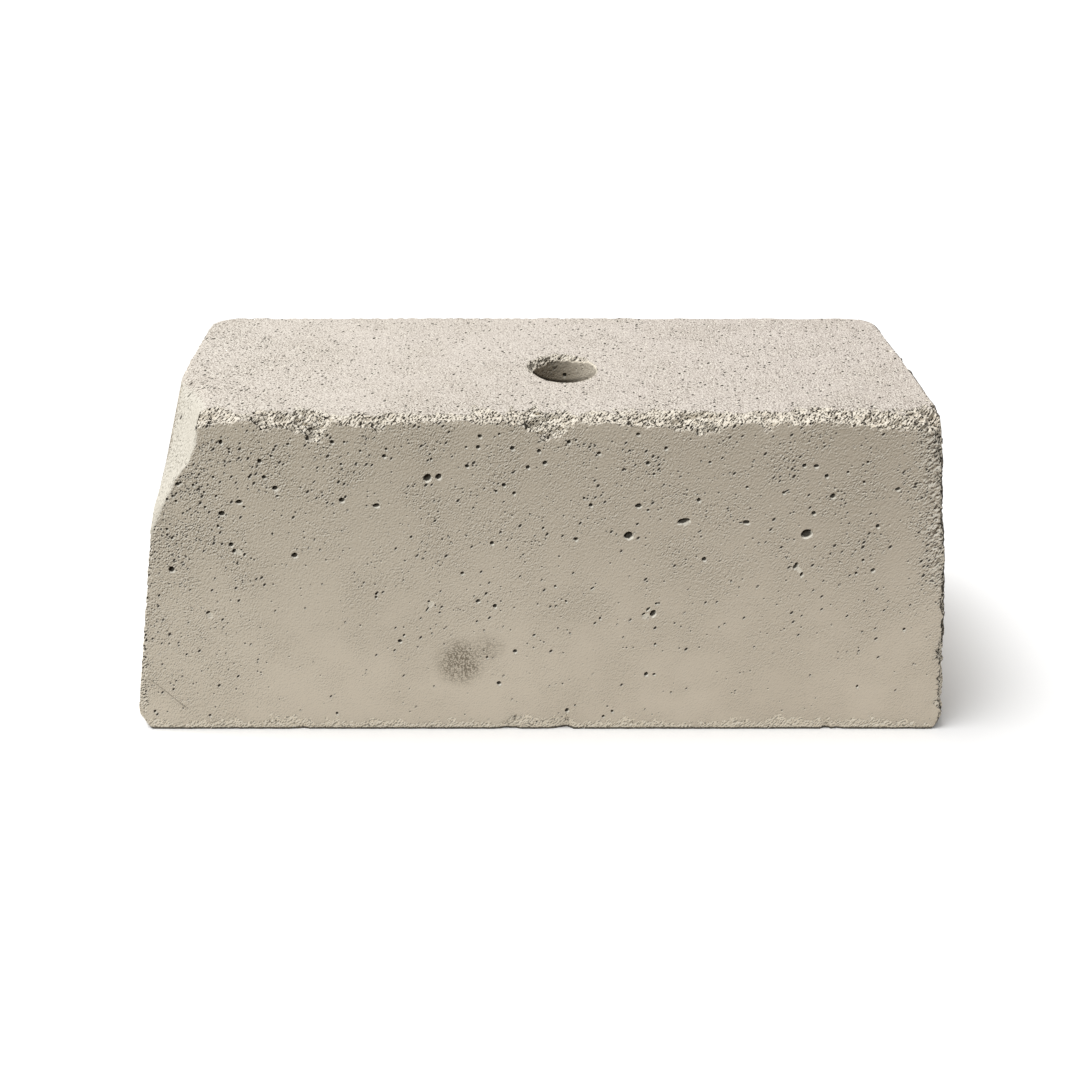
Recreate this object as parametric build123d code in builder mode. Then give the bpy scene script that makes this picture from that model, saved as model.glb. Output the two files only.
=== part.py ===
from build123d import *

import os
from math import radians, tan

# Concrete anchor block: one casting of plain concrete with four leaning sides and a rod hole straight through.
# The origin is the middle of the base, +X runs along the block, the front faces -Y and +Z is up. Millimetres.

# Block: the base, the height, and how far each side leans in from upright, in degrees
base_length = 450.0
base_depth = 190.0
block_height = 178.0
left_draft = 10.0
right_draft = 9.0
front_draft = 8.0
back_draft = 8.0

# Rod hole: bored straight down, a little off the middle, with a worn rim at both ends
hole_diameter = 34.0
hole_along = 11.5
hole_across = -7.5
hole_rim_radius = 1.5

# Arrises: how far wear has rounded each group of edges, and the slope that it has left along the upper
# front arris, which reaches down the front and back over the top
front_arris_radius = 5.0
back_arris_radius = 14.0
top_arris_radius = 3.0
base_arris_radius = 2.0
slope_down = 2.2
slope_back = 8.5

# Upper left front corner, knocked off in a shallow hollow: length lost along the front edge, along the end
# edge and along the upright arris, and how deep the hollow is
corner_lost = (20.0, 47.0, 58.0)
corner_hollow = 5.0

# Other front corners, broken off flat: the same three lengths
top_right_break = (9.0, 9.0, 14.0)
base_left_break = (9.0, 14.0, 12.0)
base_right_break = (8.0, 12.0, 14.0)

# Chips out of the front edges: place along X, length along the edge, depth of bite
top_chips = [(-136.0, 18.0, 3.5), (-115.5, 20.0, 7.0), (-84.0, 16.0, 3.5), (-1.0, 26.0, 7.0), (72.0, 24.0, 5.0),
             (169.0, 26.0, 4.0)]
base_chips = [(-150.5, 11.0, 2.5), (-133.5, 12.0, 2.5), (-82.0, 12.0, 2.0), (-50.0, 10.0, 1.5),
              (-16.5, 16.0, 4.0), (13.0, 16.0, 4.5), (109.0, 11.0, 3.0), (159.0, 7.0, 3.0), (165.0, 6.0, 2.5)]


def end_x(end, height):
    """X of an end face's plane at a height; end is -1 for the left end and 1 for the right."""
    draft_angle = left_draft if end < 0 else right_draft
    return end * (base_length / 2 - height * tan(radians(draft_angle)))


def front_y(height):
    """Y of the front face's plane at a height."""
    return -base_depth / 2 + height * tan(radians(front_draft))


def break_points(end, height, lost, down):
    """Where a broken front corner ends on its front edge, end edge and upright arris; down is 1 at the top."""
    along_front, along_end, along_arris = lost
    arris_height = height - down * along_arris
    on_front = Vector(end_x(end, height) - end * along_front, front_y(height), height)
    on_end = Vector(end_x(end, height), front_y(height) + along_end, height)
    on_arris = Vector(end_x(end, arris_height), front_y(arris_height), arris_height)
    return on_front, on_end, on_arris


def break_plane(end, height, lost, down):
    """Plane of a front corner that is broken off flat, facing out."""
    on_front, on_end, on_arris = break_points(end, height, lost, down)
    outward = (on_end - on_front).cross(on_arris - on_front) * (-end * down)
    return Plane(origin=on_front, z_dir=outward)


def hollow_axis(end, lost, hollow):
    """Axis and radius of the round hollow of a knocked-off upper front corner, and how far the break runs."""
    on_front, on_end, on_arris = break_points(end, block_height, lost, 1)
    run = on_arris - on_end
    run_way = run.normalized()
    to_front = on_front - on_end
    across = to_front - run_way * to_front.dot(run_way)
    outward = run_way.cross(across).normalized() * -end
    radius = (across.length**2 / 4 + hollow**2) / (2 * hollow)
    middle = on_end + run * 0.5 + across * 0.5 + outward * (radius - hollow)
    return Plane(origin=middle, z_dir=run), radius, run.length


def chip_dish(place, length, bite, height, rise):
    """Centre and radius of the ball that leaves a dished chip on a front edge; rise is 1 at the top."""
    radius = (length**2 / 4 + bite**2) / (2 * bite)
    outward = Vector(0, -1, rise).normalized() * (radius - bite)
    return Vector(place, front_y(height), height) + outward, radius


# The casting: a box drafted about its base, with its arrises worn round
with BuildPart() as anchor_block:
    with BuildSketch():
        Rectangle(base_length, base_depth)
    extrude(amount=block_height)
    draft(anchor_block.faces().sort_by(Axis.X)[0], Plane.XY, left_draft)
    draft(anchor_block.faces().sort_by(Axis.X)[-1], Plane.XY, right_draft)
    draft(anchor_block.faces().sort_by(Axis.Y)[0], Plane.XY, front_draft)
    draft(anchor_block.faces().sort_by(Axis.Y)[-1], Plane.XY, back_draft)

    upright_arrises = anchor_block.edges().group_by(Axis.Z)[1].sort_by(Axis.Y)
    fillet(upright_arrises[:2], front_arris_radius)
    upright_arrises = anchor_block.edges().filter_by(GeomType.LINE).group_by(Axis.Z)[1].sort_by(Axis.Y)
    fillet(upright_arrises[-2:], back_arris_radius)
    fillet(anchor_block.faces().sort_by(Axis.Z)[-1].edges(), top_arris_radius)
    fillet(anchor_block.faces().sort_by(Axis.Z)[0].edges(), base_arris_radius)

    # Rod hole
    with Locations((hole_along, hole_across, block_height)):
        Hole(hole_diameter / 2)
    fillet(anchor_block.edges(Select.LAST).filter_by(GeomType.CIRCLE), hole_rim_radius)

    # Worn slope along the upper front arris
    slope_foot = Vector(0, front_y(block_height - slope_down), block_height - slope_down)
    slope_head = Vector(0, front_y(block_height) + slope_back, block_height)
    slope_outward = Vector(1, 0, 0).cross(slope_head - slope_foot)
    split(bisect_by=Plane(origin=slope_foot, z_dir=slope_outward), keep=Keep.BOTTOM)

    # Corners knocked off
    hollow_plane, hollow_radius, hollow_run = hollow_axis(-1, corner_lost, corner_hollow)
    with Locations(hollow_plane):
        Cylinder(hollow_radius, 3 * hollow_run, mode=Mode.SUBTRACT)
    split(bisect_by=break_plane(1, block_height, top_right_break, 1), keep=Keep.BOTTOM)
    split(bisect_by=break_plane(-1, 0, base_left_break, -1), keep=Keep.BOTTOM)
    split(bisect_by=break_plane(1, 0, base_right_break, -1), keep=Keep.BOTTOM)

    # Chipped edges
    for edge_chips, edge_height, edge_rise in ((top_chips, block_height, 1), (base_chips, 0, -1)):
        for chip_place, chip_length, chip_bite in edge_chips:
            centre, chip_radius = chip_dish(chip_place, chip_length, chip_bite, edge_height, edge_rise)
            with Locations(centre):
                Sphere(chip_radius, mode=Mode.SUBTRACT)

anchor_block.part.label = "anchor_block"

os.makedirs("parts", exist_ok=True)
export_step(anchor_block.part, "parts/anchor_block.step")
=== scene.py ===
import math
import random

import bmesh
import bpy
import numpy as np
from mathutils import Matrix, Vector, noise


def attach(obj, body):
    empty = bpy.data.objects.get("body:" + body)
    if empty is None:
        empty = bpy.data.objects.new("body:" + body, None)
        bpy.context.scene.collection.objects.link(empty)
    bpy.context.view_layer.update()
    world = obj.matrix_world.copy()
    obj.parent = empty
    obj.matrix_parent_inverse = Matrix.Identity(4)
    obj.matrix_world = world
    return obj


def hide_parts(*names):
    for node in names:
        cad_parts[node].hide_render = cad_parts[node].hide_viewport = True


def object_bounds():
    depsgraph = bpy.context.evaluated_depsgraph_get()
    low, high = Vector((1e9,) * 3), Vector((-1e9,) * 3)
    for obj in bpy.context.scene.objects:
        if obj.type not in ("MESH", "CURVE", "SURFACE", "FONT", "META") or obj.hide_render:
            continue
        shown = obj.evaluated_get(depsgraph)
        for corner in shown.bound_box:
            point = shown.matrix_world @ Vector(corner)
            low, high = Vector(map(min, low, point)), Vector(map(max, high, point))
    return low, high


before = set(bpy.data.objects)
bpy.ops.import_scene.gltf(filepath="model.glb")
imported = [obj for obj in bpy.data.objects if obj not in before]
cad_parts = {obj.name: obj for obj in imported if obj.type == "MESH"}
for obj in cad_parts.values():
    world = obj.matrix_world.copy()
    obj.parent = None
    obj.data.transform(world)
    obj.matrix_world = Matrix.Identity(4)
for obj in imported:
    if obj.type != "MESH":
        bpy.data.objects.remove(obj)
cad_low, cad_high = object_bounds()
mm = 0.001


# Viewpoint. The camera stands in front of the block, a little left of its middle and above it, and looks
# down on its front and top. Its place, tilt and focal length put the corners where the photograph has them.
photo_pixels = 1080
focal_pixels = 1183
axis_pixel = 496
camera_place = Vector((-25.6, -600.7, 434.3)) * mm
camera_tilt = math.radians(31.57)

camera_data = bpy.data.cameras.new("photo_view")
camera_data.lens = camera_data.sensor_width * focal_pixels / photo_pixels
camera_data.shift_x = 0.5 - axis_pixel / photo_pixels
camera = bpy.data.objects.new("photo_view", camera_data)
camera.location = camera_place
camera.rotation_euler = (math.pi / 2 - camera_tilt, 0, 0)
bpy.context.scene.collection.objects.link(camera)
bpy.context.scene.camera = camera


def sight_line(pixel_x, pixel_y):
    """Direction from the camera through a pixel of the photograph."""
    across = (pixel_x - axis_pixel) / focal_pixels
    rise = (photo_pixels / 2 - pixel_y) / focal_pixels
    return (camera.rotation_euler.to_matrix() @ Vector((across, rise, -1))).normalized()


# The block's blank. One casting of plain concrete, made in a mould whose four sides lean in,
# with a core that leaves the rod hole. It starts as a gridded box and is drafted to the mould's shape.
base_length = 450 * mm
base_depth = 190 * mm
block_height = cad_high.z
left_draft = math.radians(10)
right_draft = math.radians(9)
front_draft = math.radians(8)
back_draft = math.radians(8)
hole_radius = 17 * mm
hole_centre = (11.5 * mm, -7.5 * mm)
grid_cell = 9 * mm

mould_faces = {
    "left": (Vector((-math.cos(left_draft), 0, math.sin(left_draft))), Vector((-base_length / 2, 0, 0))),
    "right": (Vector((math.cos(right_draft), 0, math.sin(right_draft))), Vector((base_length / 2, 0, 0))),
    "front": (Vector((0, -math.cos(front_draft), math.sin(front_draft))), Vector((0, -base_depth / 2, 0))),
    "back": (Vector((0, math.cos(back_draft), math.sin(back_draft))), Vector((0, base_depth / 2, 0))),
    "top": (Vector((0, 0, 1)), Vector((0, 0, block_height))),
    "base": (Vector((0, 0, -1)), Vector((0, 0, 0))),
}
face_order = list(mould_faces)
face_outward = np.array([mould_faces[name][0] for name in face_order])
face_foot = np.array([mould_faces[name][1] for name in face_order])


def end_x(end, height):
    """X of an end face at a height; end is -1 for the left end and 1 for the right."""
    draft = left_draft if end < 0 else right_draft
    return end * (base_length / 2 - height * math.tan(draft))


def front_y(height):
    """Y of the front face at a height."""
    return -base_depth / 2 + height * math.tan(front_draft)


def back_y(height):
    """Y of the back face at a height."""
    return base_depth / 2 - height * math.tan(back_draft)


def face_gaps(points):
    """How far points lie outside each mould face, by the face's name; inside is negative."""
    gaps = points @ face_outward.T - (face_outward * face_foot).sum(axis=1)
    return dict(zip(face_order, gaps.T))


def hole_gap(points):
    """How far points lie inside the rod hole; in the concrete it is negative."""
    return hole_radius - np.hypot(points[:, 0] - hole_centre[0], points[:, 1] - hole_centre[1])


def on_face(face, pixel_x, pixel_y):
    """Where a pixel of the photograph falls on the plane of a mould face."""
    outward, foot = mould_faces[face]
    sight = sight_line(pixel_x, pixel_y)
    return camera_place + sight * ((foot - camera_place).dot(outward) / sight.dot(outward))


block = bmesh.new()
bmesh.ops.create_cube(block, size=1)
for axis, length in enumerate((base_length, base_depth, block_height)):
    along = [e for e in block.edges if abs((e.verts[0].co - e.verts[1].co)[axis]) > 0.5]
    bmesh.ops.subdivide_edges(block, edges=along, cuts=round(length / grid_cell), use_grid_fill=True)
for v in block.verts:
    height = (v.co.z + 0.5) * block_height
    left, right = end_x(-1, height), end_x(1, height)
    front, back = front_y(height), back_y(height)
    v.co = (left + (v.co.x + 0.5) * (right - left), front + (v.co.y + 0.5) * (back - front), height)

hole_clearing = hole_radius + 0.3 * grid_cell
over_hole = []
for f in block.faces:
    middle = f.calc_center_median()
    from_hole = math.hypot(middle.x - hole_centre[0], middle.y - hole_centre[1])
    if abs(f.normal.z) > 0.99 and from_hole < hole_clearing:
        over_hole.append(f)
bmesh.ops.delete(block, geom=over_hole, context="FACES")
mouth_edges = [e for e in block.edges if e.is_boundary]
for v in {v for e in mouth_edges for v in e.verts}:
    out = Vector((v.co.x - hole_centre[0], v.co.y - hole_centre[1], 0)).normalized() * hole_radius
    v.co.x, v.co.y = hole_centre[0] + out.x, hole_centre[1] + out.y
wall = bmesh.ops.bridge_loops(block, edges=mouth_edges)
wall_edges = [e for e in wall["edges"] if abs(e.verts[0].co.z - e.verts[1].co.z) > block_height / 2]
bmesh.ops.subdivide_edges(block, edges=wall_edges, cuts=round(block_height / grid_cell), use_grid_fill=True)
bmesh.ops.recalc_face_normals(block, faces=block.faces)


# Broken edges. Knocks have taken the cement skin and the sandy mortar under it from the front's edges. Each
# reading is a pixel along an edge of the photograph and the two pixels beside it where the break ends.
top_front_readings = [
    (190, 402, 436), (204, 408, 430), (212, 408, 425), (232, 411, 424), (240, 415, 421), (249, 415, 421),
    (256, 412, 425), (264, 411, 429), (280, 411, 430), (292, 413, 430), (300, 409, 432), (308, 409, 436),
    (314, 412, 440), (321, 413, 437), (327, 415, 430), (334, 415, 422), (342, 416, 425), (362, 414, 426),
    (378, 414, 430), (386, 414, 428), (397, 415, 424), (412, 415, 424), (424, 416, 421), (438, 413, 423),
    (446, 412, 424), (454, 414, 421), (466, 413, 421), (476, 410, 424), (494, 410, 424), (502, 413, 422),
    (512, 409, 428), (524, 409, 425), (530, 409, 434), (537, 408, 438), (544, 411, 440), (551, 411, 437),
    (562, 411, 431), (571, 411, 427), (577, 413, 422), (592, 411, 424), (624, 410, 424), (633, 410, 428),
    (642, 411, 428), (654, 411, 425), (670, 412, 429), (684, 412, 430), (692, 410, 434), (706, 411, 431),
    (722, 413, 428), (731, 414, 424), (750, 413, 423), (764, 411, 427), (772, 411, 427), (782, 413, 423),
    (800, 409, 425), (820, 409, 423), (846, 410, 426), (858, 411, 425), (874, 411, 430), (896, 411, 430),
    (914, 411, 429), (924, 407, 433), (936, 404, 438),
]
base_front_readings = [
    (150, 718, 729), (165, 722, 731), (185, 723, 730), (200, 721, 732), (215, 720, 731), (250, 721, 730),
    (264, 722, 731), (270, 716, 729), (277, 717, 729), (283, 719, 732), (292, 717, 730), (302, 719, 728),
    (310, 721, 732), (330, 720, 732), (350, 719, 729), (366, 722, 732), (380, 721, 731), (394, 719, 729),
    (404, 722, 729), (412, 724, 732), (432, 721, 731), (452, 719, 729), (470, 724, 732), (486, 723, 732),
    (494, 721, 729), (504, 718, 728), (516, 714, 728), (522, 716, 729), (532, 720, 731), (548, 721, 731),
    (557, 716, 728), (566, 717, 726), (574, 720, 729), (588, 721, 732), (602, 720, 730), (625, 720, 732),
    (654, 720, 730), (670, 721, 732), (700, 721, 732), (728, 721, 731), (735, 718, 729), (745, 718, 730),
    (752, 721, 732), (770, 719, 730), (786, 717, 730), (815, 720, 732), (821, 721, 731), (828, 719, 727),
    (832, 722, 732), (838, 721, 728), (844, 720, 732), (872, 719, 731), (890, 722, 732), (905, 722, 730),
    (922, 724, 731),
]
right_front_readings = [
    (426, 931, 941), (445, 938, 942), (455, 935, 941), (462, 940, 943), (480, 938, 942), (498, 941, 943),
    (514, 939, 942), (528, 942, 944), (540, 940, 944), (556, 939, 945), (580, 942, 944), (605, 940, 944),
    (620, 942, 944), (640, 940, 943), (656, 938, 942), (670, 940, 941), (685, 937, 941), (700, 938, 941),
    (712, 937, 940),
]
left_front_readings = [
    (535, 157, 148), (560, 153, 145), (600, 149, 142), (640, 146, 138), (680, 147, 136), (712, 146, 137),
]
smallest_loss = 0.25 * mm
sandy_depth = 3.5 * mm


def read_break(first, second, readings, upright=False):
    """Two faces of a broken edge, places along it, and how far the break reaches over each face."""
    rows = []
    for along, on_first, on_second in readings:
        first_place = on_face(first, on_first, along) if upright else on_face(first, along, on_first)
        second_place = on_face(second, on_second, along) if upright else on_face(second, along, on_second)
        over_first = -face_gaps(np.array([first_place]))[second][0]
        over_second = -face_gaps(np.array([second_place]))[first][0]
        where = first_place.z if upright else first_place.x
        rows.append((where, max(over_first, smallest_loss), max(over_second, smallest_loss)))
    where, over_first, over_second = np.array(sorted(rows)).T
    return first, second, 2 if upright else 0, where, over_first, over_second


edge_breaks = [
    read_break("top", "front", top_front_readings),
    read_break("front", "base", base_front_readings),
    read_break("front", "right", right_front_readings, upright=True),
    read_break("front", "left", left_front_readings, upright=True),
]


def slope_outside(first_gap, second_gap, over_first, over_second, sand=0.0):
    """How far points lie outside a slope that reaches so far over each of two faces; sand roughens it."""
    depth = over_first * over_second / np.hypot(over_first, over_second)
    outside = depth * (first_gap / over_second + second_gap / over_first + 1)
    return outside + sand * np.clip(depth / sandy_depth, 0.05, 1)


def along_faces(outside, over_first, over_second):
    """The same distance as it is seen along the two faces."""
    return outside * np.hypot(over_first, over_second) / np.minimum(over_first, over_second)


def edge_reach(points, edge_break, fray=0.0):
    """How far a broken edge reaches over each of its faces beside points; fray makes its ends ragged."""
    axis, where, over_first, over_second = edge_break[2:]
    over_first = np.interp(points[:, axis], where, over_first)
    over_second = np.interp(points[:, axis], where, over_second)
    return over_first * (1 + fray), over_second * (1 + fray)


def edge_slope(points, gaps, edge_break, fray=0.0, sand=0.0):
    """How far points lie outside a broken edge."""
    first, second = edge_break[:2]
    return slope_outside(gaps[first], gaps[second], *edge_reach(points, edge_break, fray), sand)


# Broken corners. The upper left one is knocked off in a round hollow that runs down the front's left arris,
# and the other three are broken off flat. Each has the lengths lost along the front, the end and the arris.
corner_lost = {
    "top_left": (-1, block_height, (20, 47, 58), 1),
    "top_right": (1, block_height, (9, 9, 14), 1),
    "base_left": (-1, 0, (8, 13, 11), -1),
    "base_right": (1, 0, (8, 12, 14), -1),
}
corner_hollow = 5 * mm
hollow_front_readings = [
    (195, 425), (196, 435), (194, 447), (190, 455), (188, 463), (181, 470), (174, 480), (168, 494),
    (161, 507), (153, 526), (150, 538),
]
hollow_front_reach = 12 * mm


def break_points(end, height, lost, down):
    """Where a broken corner ends along the front edge, the end edge and the upright arris."""
    along_front, along_end, along_arris = (length * mm for length in lost)
    arris_height = height - down * along_arris
    on_front = Vector((end_x(end, height) - end * along_front, front_y(height), height))
    on_end = Vector((end_x(end, height), front_y(height) + along_end, height))
    on_arris = Vector((end_x(end, arris_height), front_y(arris_height), arris_height))
    return on_front, on_end, on_arris


flat_breaks = []
for name in ("top_right", "base_left", "base_right"):
    end, height, lost, down = corner_lost[name]
    on_front, on_end, on_arris = break_points(end, height, lost, down)
    outward = ((on_end - on_front).cross(on_arris - on_front) * (-end * down)).normalized()
    flat_breaks.append((np.array(outward), np.array(on_front)))

on_front, on_end, on_arris = break_points(*corner_lost["top_left"])
hollow_way = (on_arris - on_end).normalized()
hollow_width = (on_front - on_end) - hollow_way * (on_front - on_end).dot(hollow_way)
hollow_radius = (hollow_width.length**2 / 4 + corner_hollow**2) / (2 * corner_hollow)
hollow_out = hollow_way.cross(hollow_width).normalized()
hollow_axis = on_end + hollow_width / 2 + hollow_out * (hollow_radius - corner_hollow)


def round_hollow(points):
    """How far points lie inside the round hollow of the upper left corner."""
    offset = points - np.array(hollow_axis)
    along = offset @ np.array(hollow_way)
    return hollow_radius - np.linalg.norm(offset - along[:, None] * np.array(hollow_way), axis=1)


hollow_ends = np.array([on_face("front", *pixel) for pixel in reversed(hollow_front_readings)])
hollow_shift = -round_hollow(hollow_ends)


def hollow_gap(points, gaps):
    """The round hollow, with its edge on the front where the photograph has it."""
    near_front = np.clip(1 + gaps["front"] / hollow_front_reach, 0, 1)
    return round_hollow(points) + near_front * np.interp(points[:, 2], hollow_ends[:, 2], hollow_shift)


# Worn rim of the rod hole: crisp at the front and the right, and crumbled at the back and the left,
# where the core was pulled.
crumbled_middle = math.radians(120)
crumbled_reach = math.radians(80)
rim_over_top = (0.4 * mm, 4.5 * mm)
rim_down_wall = (0.4 * mm, 3.5 * mm)


def rim_reach(points, fray=0.0):
    """How far the worn rim reaches over the top and down the hole's wall beside points."""
    bearing = np.arctan2(points[:, 1] - hole_centre[1], points[:, 0] - hole_centre[0])
    turn = np.abs((bearing - crumbled_middle + math.pi) % (2 * math.pi) - math.pi)
    crumbled = np.sqrt(np.clip(1 - turn / crumbled_reach, 0, 1)) * (1 + fray)
    over_top = rim_over_top[0] + (rim_over_top[1] - rim_over_top[0]) * crumbled
    down_wall = rim_down_wall[0] + (rim_down_wall[1] - rim_down_wall[0]) * crumbled
    return over_top, down_wall


def rim_slope(points, gaps, fray=0.0, sand=0.0):
    """How far points lie outside the worn rim of the rod hole."""
    return slope_outside(gaps["top"], hole_gap(points), *rim_reach(points, fray), sand)


def sandy_break(points, fray=0.0, sand=0.0):
    """How far points lie within the nearest sandy break, measured along the faces that it breaks."""
    gaps = face_gaps(points)
    within = [(points - foot) @ outward + sand for outward, foot in flat_breaks]
    for edge_break in edge_breaks:
        reach = edge_reach(points, edge_break, fray)
        within.append(along_faces(edge_slope(points, gaps, edge_break, fray, sand), *reach))
    within.append(along_faces(rim_slope(points, gaps, fray, sand), *rim_reach(points, fray)))
    return np.max(within, axis=0)


# Cavities. Grains have fallen out of the breaks here and there and left gaps, whose shade is painted dark.
# They are placed from the photograph, by pixel and width in pixels.
cavities = [
    (298, 419, 5), (303, 416, 3), (331, 421, 5), (276, 426, 4), (213, 417, 5), (547, 424, 4), (553, 419, 5),
    (716, 421, 5), (760, 420, 4), (774, 421, 4), (865, 421, 5), (870, 424, 4), (924, 409, 5), (925, 422, 6),
    (929, 413, 5), (932, 420, 4), (936, 428, 5), (938, 436, 4), (938, 455, 5), (508, 721, 7), (515, 718, 8),
    (521, 717, 5), (553, 720, 7), (560, 717, 8), (567, 720, 7), (270, 721, 5), (276, 721, 5), (735, 721, 5),
    (744, 721, 5),
]
cavity_reach = 15 * mm


def cavity_share(points):
    """How deep points near the front lie in a cavity, from 0 outside it to 1 in its middle."""
    share = np.zeros(len(points))
    near_front = points[:, 1] < front_y(block_height) + cavity_reach
    for pixel_x, pixel_y, pixel_width in cavities:
        sight = np.array(sight_line(pixel_x, pixel_y))
        offset = points - np.array(camera_place)
        ahead = offset @ sight
        beside = np.linalg.norm(offset - ahead[:, None] * sight, axis=1) / (ahead / focal_pixels)
        share = np.maximum(share, np.where(near_front, 1 - (beside / (0.5 * pixel_width)) ** 2, 0))
    return share


# Air holes. Bubbles caught against the mould leave pits, most of them in the upper half of a face. Those in
# sight are placed from the photograph, by pixel and width, and the hidden faces get scattered ones.
daylight_toward = Vector((-0.38, 0.06, 0.85)).normalized()
front_holes = [
    (221, 437, 2), (212, 440, 2), (229, 449, 3), (229, 452, 3), (251, 453, 2), (268, 454, 2), (271, 456, 3),
    (264, 477, 4), (249, 477, 3), (275, 488, 5), (277, 496, 3), (248, 489, 2), (259, 490, 2), (205, 507, 3),
    (204, 492, 3), (360, 451, 3), (348, 453, 2), (332, 442, 4), (344, 442, 3), (384, 456, 4), (341, 464, 3),
    (288, 444, 3), (167, 529, 3), (172, 538, 3), (169, 546, 2), (297, 549, 2), (183, 562, 2), (322, 584, 2),
    (376, 594, 3), (376, 597, 3), (305, 608, 2), (345, 622, 2), (158, 632, 2), (155, 711, 3), (210, 715, 3),
    (337, 713, 3), (431, 459, 3), (466, 447, 3), (478, 447, 4), (467, 466, 4), (539, 451, 4), (528, 467, 4),
    (480, 436, 4), (499, 434, 3), (504, 485, 4), (496, 491, 3), (514, 493, 4), (569, 442, 4), (576, 440, 3),
    (599, 453, 4), (584, 498, 3), (591, 505, 4), (648, 510, 3), (648, 463, 4), (656, 461, 2), (666, 448, 4),
    (654, 474, 3), (638, 434, 4), (576, 539, 4), (543, 528, 3), (492, 543, 4), (530, 514, 2), (448, 536, 2),
    (451, 542, 2), (386, 449, 3), (827, 476, 4), (833, 496, 5), (814, 513, 4), (747, 487, 3), (699, 500, 4),
    (710, 462, 3), (701, 461, 2), (705, 447, 2), (864, 482, 3), (868, 462, 3), (898, 489, 4), (878, 526, 4),
    (848, 472, 3), (754, 460, 2), (856, 573, 3), (873, 570, 4), (863, 560, 3), (731, 581, 2), (739, 587, 2),
    (864, 601, 2), (857, 686, 3), (810, 675, 2), (904, 629, 3), (719, 627, 2), (555, 586, 3), (566, 601, 3),
    (495, 606, 4), (478, 601, 4), (474, 596, 2), (462, 573, 4), (515, 651, 4), (499, 683, 4), (646, 674, 4),
    (654, 674, 3), (655, 644, 3), (400, 641, 4), (404, 635, 3), (432, 633, 2), (484, 630, 2), (487, 657, 3),
    (434, 686, 2), (600, 618, 3), (570, 633, 2), (558, 628, 2), (567, 710, 4), (575, 705, 2), (603, 716, 3),
    (612, 711, 3), (671, 692, 2), (210, 460, 2), (218, 462, 2), (225, 462, 2), (192, 474, 2), (195, 478, 2),
    (213, 477, 3), (224, 473, 2), (193, 485, 3), (190, 494, 2), (216, 496, 3), (181, 497, 2), (176, 501, 3),
    (187, 511, 2), (186, 527, 2), (218, 526, 3), (212, 530, 2), (177.5, 484, 4), (180.5, 482.5, 3),
    (172.5, 496, 3), (167, 499, 3), (185.5, 477, 2), (188.5, 477, 2), (197, 477.5, 2),
]
# Larger holes of the front: pixel, length, breadth and tilt of the long way in degrees
large_front_holes = [
    (220.5, 442, 5, 3.6, 70), (427.4, 477.7, 8.5, 7, 50), (438.6, 476.5, 7, 5, 50), (628.5, 535.4, 9, 8, 20),
    (638.6, 505.7, 6.5, 4.5, 15), (683.6, 521, 13, 5.5, 15), (746.4, 522.2, 7, 4, 0),
    (741, 522.4, 4, 1.6, 10), (806.8, 533.5, 11, 8.5, 25), (795.8, 565.8, 7, 4, 60),
    (801.4, 574.3, 5, 3, 60), (647.9, 609, 6, 2.6, 45), (653.1, 613.3, 7.5, 5.2, 65),
    (643.5, 614, 5, 2.5, 40), (656.4, 603.3, 3.5, 2.5, 20), (428.8, 601.3, 3, 2.5, 0),
    (427.1, 609.4, 6.5, 1.8, 55), (435.3, 605.3, 2, 2, 0), (231, 544.5, 5, 4.2, 60),
    (234, 550.8, 5, 3.4, 60), (244.4, 554.5, 4, 2.6, 60), (241.3, 549.8, 2.2, 2, 0),
    (208, 612.5, 5.5, 3, 30), (221.5, 513.4, 6, 5, 10), (238.9, 501.8, 6.5, 4, 12),
    (244.1, 506.8, 3, 2.4, 0), (341.6, 500, 5.5, 5, 0), (376.1, 505.5, 7, 4, 10), (294.3, 555.3, 6, 5, 10),
    (171.5, 569.4, 6, 5.6, 30), (704, 559, 4.6, 4.2, 40), (592.4, 588, 6, 2, 40), (533.9, 635, 4, 2.4, 30),
    (783.8, 492.4, 3.6, 3, 30), (787.8, 490.3, 2.8, 1.8, 40), (804.5, 465.5, 4.2, 3.6, 20),
    (816.4, 465.9, 5, 3.6, 10), (259.4, 461.1, 4.6, 4.2, 45), (512.3, 448.1, 4.8, 4.2, 30),
    (544.9, 462.8, 5, 3.8, 25),
]
# Shallow pale dishes of the front, the same way
pale_dishes = [
    (645.5, 616.5, 9, 6, 20), (431, 605, 9, 6, 60), (238.5, 552.5, 10, 6, -35), (210, 616, 7, 6, 30),
    (799, 570, 12, 5, -50), (686, 524, 8, 4, 15),
]
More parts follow.
